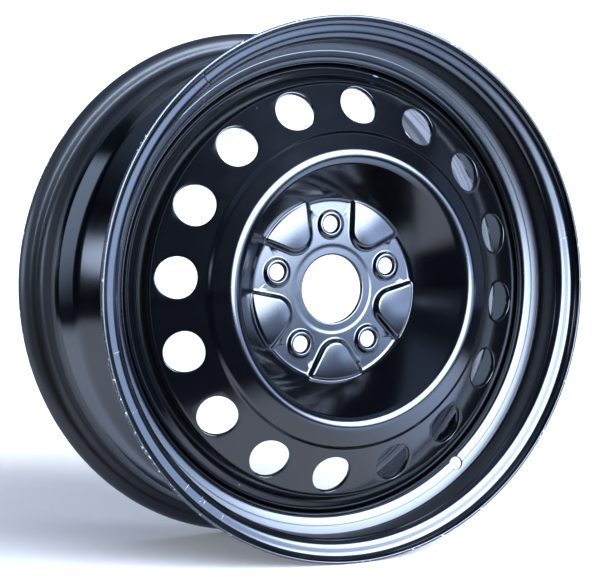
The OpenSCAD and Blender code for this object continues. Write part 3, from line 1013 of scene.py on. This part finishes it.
class WHEEL_OT_disc(bpy.types.Operator):
    """Presses the disc: hub with lug seats and pads, bowl, crest, vent ring and flange"""

    bl_idname = "wheel.disc"
    bl_label = "Disc"

    def execute(self, context):
        scene = context.scene
        s, hub, look = scene.wheel_disc, scene.wheel_hub, scene.wheel_paint
        lines = sheet_lines(disc_corners(s, scene.wheel_rim), s.sheet)
        joint = int(np.argmax(lines[0][:, 0] > hub.pad_outer + JOINT_REACH))
        outer = [line[joint:] for line in lines]
        caps = [(-1, round_end(*outer, -1))]
        span = 2 * math.pi / s.vent_count
        step = span / VENT_CELLS
        lug_span = 2 * math.pi / hub.lug_count
        off = (s.vent_angle - span / 2) - (hub.lug_angle - lug_span / 2)
        twist = (off + step / 2) % step - step / 2
        vent = np.interp(s.vent_ring, outer[0][:, 0], np.arange(len(outer[0])))
        hole = (vent, s.vent_radius, s.vent_edge, VENT_BACK_EDGE)
        ring = sheet_sector(outer, caps, span, VENT_CELLS, hole)
        meshes = [
            repeated(hub_sector(s, hub, lines, joint, twist), "hub_sector",
                     hub.lug_count, hub.lug_angle, lug_span),
            repeated(ring, "vent_sector", s.vent_count, s.vent_angle, span),
        ]
        place("pressed_disc", meshes, disc_paint(look), "disc")
        return {"FINISHED"}


class WHEEL_OT_welds(bpy.types.Operator):
    """Lays the weld beads between the disc flange and the rim"""

    bl_idname = "wheel.welds"
    bl_label = "Weld beads"

    def execute(self, context):
        scene = context.scene
        s = scene.wheel_weld
        skin = weld_sector(s, scene.wheel_rim, scene.wheel_disc)
        beads = repeated(skin, "bead_sector", s.count, s.first, 2 * math.pi / s.count)
        place("weld_beads_rippled", [beads], weld_paint(scene.wheel_paint), "weld_beads")
        return {"FINISHED"}


WHITE = (1.0, 1.0, 1.0, 1.0)
BLACK = (0.0, 0.0, 0.0, 1.0)
UNLIT = (0.015, 0.017, 0.022, 1.0)
PALE = (0.6, 0.735, 1.0)
BLUE = (0.44, 0.61, 1.0)
# Soft lights: name, azimuth and elevation in degrees, distance, width, height, tint, shape, roll in degrees
LIGHTS = (
    ("key", 14, 16.5, 2.4, 2.78, 2.05, PALE, "ELLIPSE", 30),
    ("spill", 36, 1, 2.4, 0.8, 0.8, BLUE, "ELLIPSE", 0),
    ("side", -96, 10, 2.0, 1.6, 1.05, PALE, "ELLIPSE", 0),
    ("wall", 85, 10, 2.0, 2.0, 2.0, BLUE, "RECTANGLE", 0),
    ("rear", -154, 10, 2.2, 0.9, 1.7, (0.55, 0.72, 1.0), "RECTANGLE", 0),
    ("back", 178, 46, 2.4, 2.0, 1.3, (0.6, 0.75, 1.0), "RECTANGLE", 0),
)
# The sweep: half its width, also its reach to the front, where it bends up, the bend's radius, its top
SWEEP_HALF = 6.0
SWEEP_BACK = 2.2
SWEEP_BEND = 0.9
SWEEP_TOP = 3.4
# Bright pool on the floor, as the wheel mirrors it: painted light that the floor glows with in reflections
POOL_X = 0.33
POOL_Y = -0.42
# Place and direction of the camera, solved from the lug circle, the vents and both flanges in the photo
EYE_PLACE = (-0.7976, -1.5004, 0.0702)
EYE_DIRECTION = (0.4673, 0.8830, -0.0441)


def toward(azimuth, elevation):
    """Direction from the wheel, azimuth 0 straight outboard and positive to the right."""
    a, e = math.radians(azimuth), math.radians(elevation)
    return Vector((math.sin(a) * math.cos(e), -math.cos(a) * math.cos(e), math.sin(e)))


def soft_light(name, power, azimuth, elevation, distance, width, height, tint, shape, roll):
    """An area light that faces the wheel and fades toward its edges."""
    lamp = bpy.data.lights.new(name, "AREA")
    lamp.shape = shape
    lamp.size, lamp.size_y = width, height
    lamp.energy = power
    lamp.color = tint
    lamp.use_nodes = True
    glow = Nodes(lamp.node_tree)
    spot = glow.add("ShaderNodeNewGeometry", output="Parametric")
    spot = glow.add("ShaderNodeSeparateXYZ", {0: spot})
    u, v = (spot.other(i) * 2 - 1 for i in range(2))
    fade = 1 - (u * u + v * v).above(0.55, 0.45)
    shine = glow.add("ShaderNodeEmission", {"Color": glow.mix(fade, BLACK, WHITE), "Strength": 1.0})
    glow.add("ShaderNodeOutputLight", {0: shine})
    light = added(name, lamp)
    light.location = toward(azimuth, elevation) * distance
    facing = (-light.location).to_track_quat("-Z", "Y")
    light.rotation_euler = (facing @ Quaternion((0, 0, 1), math.radians(roll))).to_euler()
    light.visible_camera = False


def sweep_mesh():
    """The floor, which bends up into the backdrop."""
    bend = [(SWEEP_BACK + SWEEP_BEND * math.sin(t), SWEEP_BEND - SWEEP_BEND * math.cos(t))
            for t in np.linspace(0, math.pi / 2, 13)]
    line = [(-SWEEP_HALF, 0.0), *bend, (SWEEP_BACK + SWEEP_BEND, SWEEP_TOP)]
    points = [(x, y, FLOOR + z) for y, z in line for x in (-SWEEP_HALF, SWEEP_HALF)]
    faces = [(2 * i, 2 * i + 1, 2 * i + 3, 2 * i + 2) for i in range(len(line) - 1)]
    mesh = bpy.data.meshes.new("studio_sweep")
    mesh.from_pydata(points, [], faces)
    for face in mesh.polygons:
        face.use_smooth = True
    return mesh


def studio_paper(look):
    """White paper to the camera. The wheel mirrors it painted dark, but for a table and two fainter zones
    where it glows with painted light.
    """
    f = Finish("studio_paper")
    seen = f.add("ShaderNodeLightPath", output="Is Camera Ray")
    mirrored = seen.other("Is Glossy Ray")
    off_axle = f.x ** 2 + f.y ** 2
    # Zones where the paper glows for the wheel's reflections: painted light of a lit table with a bright
    # pool, and fainter zones behind and in front
    table = (f.y + f.x * 0.7).above(-0.46, 0.16) * (1 - f.x.above(0.55, 0.2))
    table = table * (1 - off_axle.above(0.9, 0.9))
    pool = 1 - ((f.x - POOL_X) ** 2 + (f.y - POOL_Y) ** 2).above(0.0, 0.16)
    behind = f.y.above(0.4, 0.3) * f.x.above(-0.5, 0.3) * (1 - f.z.above(0.1, 0.3))
    front = (-1 * f.y).above(1.0, 0.5) * f.x.above(-0.3, 0.7)
    shown = off_axle.above(0.06, 0.9) * 0.12 + 0.01
    reflected = table * (pool * 0.75 + 0.05) + behind * 0.1 + front * 0.4
    lit = (seen * shown + mirrored * reflected).math("MINIMUM", 1.0)
    tint = f.mix(mirrored, WHITE, rgba(BLUE))
    paler = [min(1.0, c * 1.03) for c in look.floor]
    shade = f.mix(f.noise(30.0, 3.0), rgba(look.floor), rgba(paler))
    # Outside the table and the zone behind, the paper is painted near black for all but camera rays:
    # painted shade of unlit surroundings
    dark = (1 - (table + behind).math("MINIMUM", 1.0)) * (1 - seen)
    matt = f.add("ShaderNodeBsdfDiffuse", {"Color": f.mix(dark, shade, UNLIT)})
    glow = f.add("ShaderNodeEmission", {"Color": tint, "Strength": 6.5})
    f.add("ShaderNodeOutputMaterial", {0: f.blend(lit, matt, glow)})
    return f.material


def studio_room(look):
    """Dim blue walls and a brighter ceiling. The camera sees plain white in their place."""
    world = bpy.data.worlds.new("studio")
    world.use_nodes = True
    room = Nodes(world.node_tree)
    way = room.add("ShaderNodeTexCoord", output="Generated")
    up = room.add("ShaderNodeSeparateXYZ", {0: way}).other("Z")
    walls, ceiling, white = (
        room.add("ShaderNodeBackground", {"Color": shade, "Strength": strength})
        for shade, strength in ((rgba(BLUE), look.fill), (rgba(BLUE), look.ceiling), (WHITE, 1.0))
    )
    seen = room.add("ShaderNodeLightPath", output="Is Camera Ray")
    around = room.blend(up.above(0.5, 0.35), walls, ceiling)
    room.add("ShaderNodeOutputWorld", {0: room.blend(seen, around, white)})
    return world


class WHEEL_OT_stage(bpy.types.Operator):
    """Sets up the floor, the backdrop, the soft lights and the camera"""

    bl_idname = "wheel.stage"
    bl_label = "Stage"

    def execute(self, context):
        scene, look = context.scene, context.scene.wheel_stage
        mesh = sweep_mesh()
        mesh.materials.append(studio_paper(look))
        floor = added("studio_sweep", mesh)
        scene.world = studio_room(look)
        for name, *settings in LIGHTS:
            soft_light(f"{name}_light", getattr(look, f"{name}_power"), *settings)

        eye = bpy.data.cameras.new("eye")
        eye.lens, eye.sensor_width = look.lens, 36.0
        eye.clip_end = 50.0
        camera = added("eye", eye)
        camera.location = EYE_PLACE
        camera.rotation_euler = Vector(EYE_DIRECTION).to_track_quat("-Z", "Y").to_euler()
        scene.camera = camera
        scene.view_settings.view_transform = "Standard"
        return {"FINISHED"}


class WHEEL_PT_panel(bpy.types.Panel):
    """Lists the wheel's pieces and their sizes"""

    bl_idname = "WHEEL_PT_panel"
    bl_label = "Pressed steel wheel"
    bl_space_type = "VIEW_3D"
    bl_region_type = "UI"
    bl_category = "Wheel"

    def draw(self, context):
        for operator, groups in PANEL:
            box = self.layout.box()
            box.operator(operator)
            for group in groups:
                sizes = getattr(context.scene, group)
                for name in type(sizes).__annotations__:
                    box.prop(sizes, name)


GROUPS = {
    "wheel_rim": RimSizes, "wheel_disc": DiscSizes, "wheel_hub": HubSizes,
    "wheel_weld": WeldSizes, "wheel_paint": PaintLook, "wheel_stage": StageLook,
}
PANEL = (
    ("wheel.rim", ("wheel_rim", "wheel_paint")),
    ("wheel.disc", ("wheel_disc", "wheel_hub")),
    ("wheel.welds", ("wheel_weld",)),
    ("wheel.stage", ("wheel_stage",)),
)
CLASSES = (*GROUPS.values(), WHEEL_OT_rim, WHEEL_OT_disc, WHEEL_OT_welds, WHEEL_OT_stage, WHEEL_PT_panel)


def register():
    for cls in CLASSES:
        bpy.utils.register_class(cls)
    for name, group in GROUPS.items():
        setattr(bpy.types.Scene, name, bpy.props.PointerProperty(type=group))


def unregister():
    for name in GROUPS:
        delattr(bpy.types.Scene, name)
    for cls in reversed(CLASSES):
        bpy.utils.unregister_class(cls)


def main():
    register()
    bpy.ops.wheel.rim()
    bpy.ops.wheel.disc()
    bpy.ops.wheel.welds()
    bpy.ops.wheel.stage()


if __name__ == "__main__":
    main()
